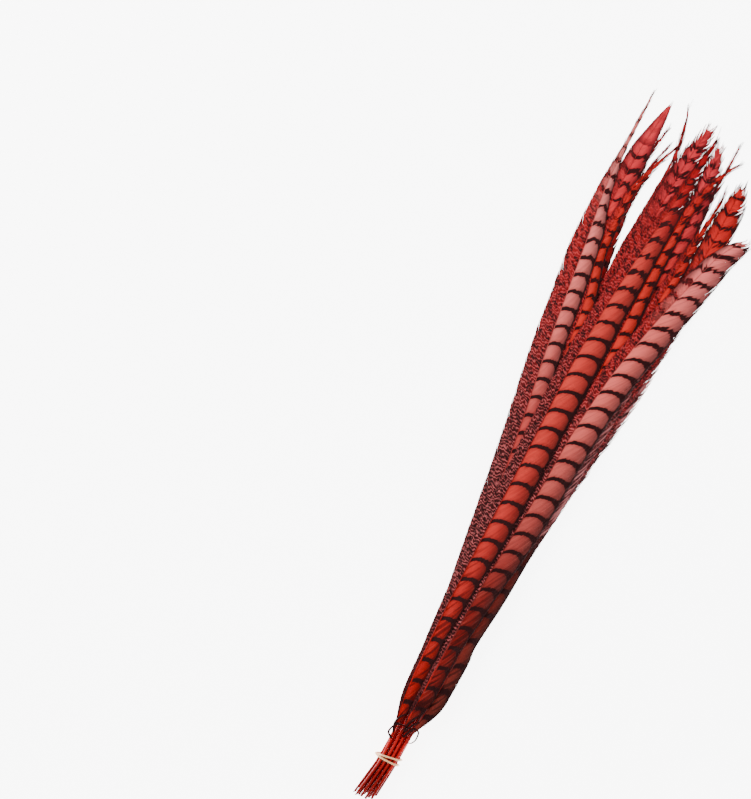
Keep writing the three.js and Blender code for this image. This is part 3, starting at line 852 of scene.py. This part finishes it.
class FEATHER_OT_band(bpy.types.Operator):
    """Makes the doubled rubber band round the quills"""

    bl_idname = "feather.band"
    bl_label = "Tie the rubber band"

    def execute(self, context):
        radius = context.scene.feather_band.radius
        sides, rings = 12, self.ring_centres()
        bm = bmesh.new()
        strand = bm.loops.layers.uv.new("strand")
        number = bm.verts.layers.int.new("ring")
        angle = bm.verts.layers.int.new("angle")
        made = bmesh.ops.create_circle(bm, cap_ends=False, segments=sides, radius=radius)
        ring = sorted(made["verts"], key=lambda v: math.atan2(v.co.y, v.co.x) % (2 * math.pi))
        first = None
        middle = sum(rings, Vector()) / len(rings)
        for k, centre in enumerate(rings):
            if k:
                edges = [e for e in bm.edges if e.verts[0] in ring and e.verts[1] in ring]
                grown = bmesh.ops.extrude_edge_only(bm, edges=edges)["geom"]
                fresh = {v for v in grown if isinstance(v, bmesh.types.BMVert)}
                ring = [next(e.other_vert(v) for e in v.link_edges if e.other_vert(v) in fresh) for v in ring]
            outwards = Vector((centre.x - middle.x, 0, centre.z - middle.z)).normalized()
            for j, vert in enumerate(ring):
                turn = 2 * math.pi * j / sides
                vert.co = centre + radius * (math.cos(turn) * outwards + math.sin(turn) * Vector((0, 1, 0)))
                vert[number] = k
                vert[angle] = j
            first = first or list(ring)
        loops = [e for e in bm.edges if e.is_boundary]
        bmesh.ops.bridge_loops(bm, edges=loops)
        bmesh.ops.recalc_face_normals(bm, faces=bm.faces)
        for face in bm.faces:
            face.smooth = True
            wraps = max(l.vert[angle] for l in face.loops) - min(l.vert[angle] for l in face.loops) > 1
            closes = max(l.vert[number] for l in face.loops) - min(l.vert[number] for l in face.loops) > 1
            for loop in face.loops:
                a, n = loop.vert[angle], loop.vert[number]
                loop[strand].uv = (
                    (a + (sides if wraps and a == 0 else 0)) / sides,
                    n + (len(rings) if closes and n == 0 else 0),
                )
        mesh = bpy.data.meshes.new("rubber_band_strand")
        bm.to_mesh(mesh)
        bm.free()
        mesh.materials.append(rubber_finish(context.scene.feather_colours))
        piece = bpy.data.objects.new("rubber_band_strand", mesh)
        context.scene.collection.objects.link(piece)
        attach(piece, "root")
        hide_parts("rubber_band")
        return {"FINISHED"}

    def ring_centres(self):
        """The middle of each of the solid's rings, in the order in which the strand passes them."""
        bm = bmesh.new()
        bm.from_mesh(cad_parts["rubber_band"].data)
        bmesh.ops.remove_doubles(bm, verts=bm.verts, dist=1e-6)
        bm.verts.ensure_lookup_table()
        # a ring's points lie closest together; walk from ring to ring over the longer edges
        sides = 6
        short = sorted(e.calc_length() for e in bm.edges)[: len(bm.verts)]
        limit = short[-1] * 1.02
        seen, rings, of_vert = set(), [], {}
        for vert in bm.verts:
            if vert in seen:
                continue
            ring, queue = [], [vert]
            while queue:
                here = queue.pop()
                if here in seen:
                    continue
                seen.add(here)
                ring.append(here)
                queue += [e.other_vert(here) for e in here.link_edges if e.calc_length() < limit]
            for member in ring:
                of_vert[member] = len(rings)
            rings.append(ring)
        if any(len(ring) != sides for ring in rings):
            raise RuntimeError(f"the band's rings have {sorted({len(r) for r in rings})} points")
        order, here, before = [0], 0, None
        while len(order) < len(rings):
            near = {}
            for vert in rings[here]:
                for e in vert.link_edges:
                    other = of_vert[e.other_vert(vert)]
                    if other not in (here, before):
                        near[other] = near.get(other, 0) + 1
            following = max(near, key=near.get)
            before, here = here, following
            order.append(here)
        centres = [sum((v.co for v in rings[k]), Vector()) / sides for k in order]
        bm.free()
        return centres


class FEATHER_OT_stage(bpy.types.Operator):
    """Lays the pale floor, hangs the soft lights and sets the camera"""

    bl_idname = "feather.stage"
    bl_label = "Set the stage"

    def execute(self, context):
        scene = context.scene
        bm = bmesh.new()
        bmesh.ops.create_grid(bm, x_segments=4, y_segments=4, size=4)
        mesh = bpy.data.meshes.new("floor")
        bm.to_mesh(mesh)
        bm.free()
        mesh.materials.append(floor_finish(scene.feather_colours))
        floor = bpy.data.objects.new("floor", mesh)
        scene.collection.objects.link(floor)
        floor.location.z = -0.0001

        world = bpy.data.worlds.new("pale_room")
        world.use_nodes = True
        world.node_tree.nodes["Background"].inputs[0].default_value = (1, 1, 1, 1)
        world.node_tree.nodes["Background"].inputs[1].default_value = 0.95
        scene.world = world
        for name, place, size, power in (
            ("window", (-1.25, 0.45, 1.5), 1.1, 44),
            ("fill", (1.2, -0.9, 1.6), 1.6, 9),
        ):
            light = bpy.data.lights.new(name, "AREA")
            light.size = size
            light.energy = power
            lamp = bpy.data.objects.new(name, light)
            lamp.location = place
            lamp.rotation_euler = (-Vector(place)).to_track_quat("-Z", "Y").to_euler()
            scene.collection.objects.link(lamp)

        camera = bpy.data.cameras.new("camera")
        camera.sensor_width = 36
        camera.lens = 36 * CAMERA_DISTANCE / PICTURE_HEIGHT
        viewer = bpy.data.objects.new("camera", camera)
        viewer.location = (*PICTURE_CENTRE, CAMERA_DISTANCE)
        viewer.rotation_euler = (0, 0, PICTURE_TURN)
        scene.collection.objects.link(viewer)
        scene.camera = viewer
        return {"FINISHED"}


class FEATHER_PT_panel(bpy.types.Panel):
    """Lists the steps and the sizes and colours that they use"""

    bl_label = "Feather bundle"
    bl_idname = "FEATHER_PT_panel"
    bl_space_type = "VIEW_3D"
    bl_region_type = "UI"
    bl_category = "Feathers"

    def draw(self, context):
        for operator in OPERATORS:
            self.layout.operator(operator.bl_idname)
        for name, group in SETTINGS.items():
            box = self.layout.box()
            for prop in group.__annotations__:
                box.prop(getattr(context.scene, name), prop)


OPERATORS = (FEATHER_OT_dress, FEATHER_OT_band, FEATHER_OT_stage)


def register():
    for group in SETTINGS.values():
        bpy.utils.register_class(group)
    for name, group in SETTINGS.items():
        setattr(bpy.types.Scene, name, bpy.props.PointerProperty(type=group))
    for thing in (*OPERATORS, FEATHER_PT_panel):
        bpy.utils.register_class(thing)


def unregister():
    for thing in (FEATHER_PT_panel, *reversed(OPERATORS)):
        bpy.utils.unregister_class(thing)
    for name, group in SETTINGS.items():
        delattr(bpy.types.Scene, name)
        bpy.utils.unregister_class(group)


def main():
    register()
    bpy.ops.feather.stage()
    bpy.ops.feather.dress()
    bpy.ops.feather.band()


if __name__ == "__main__":
    main()
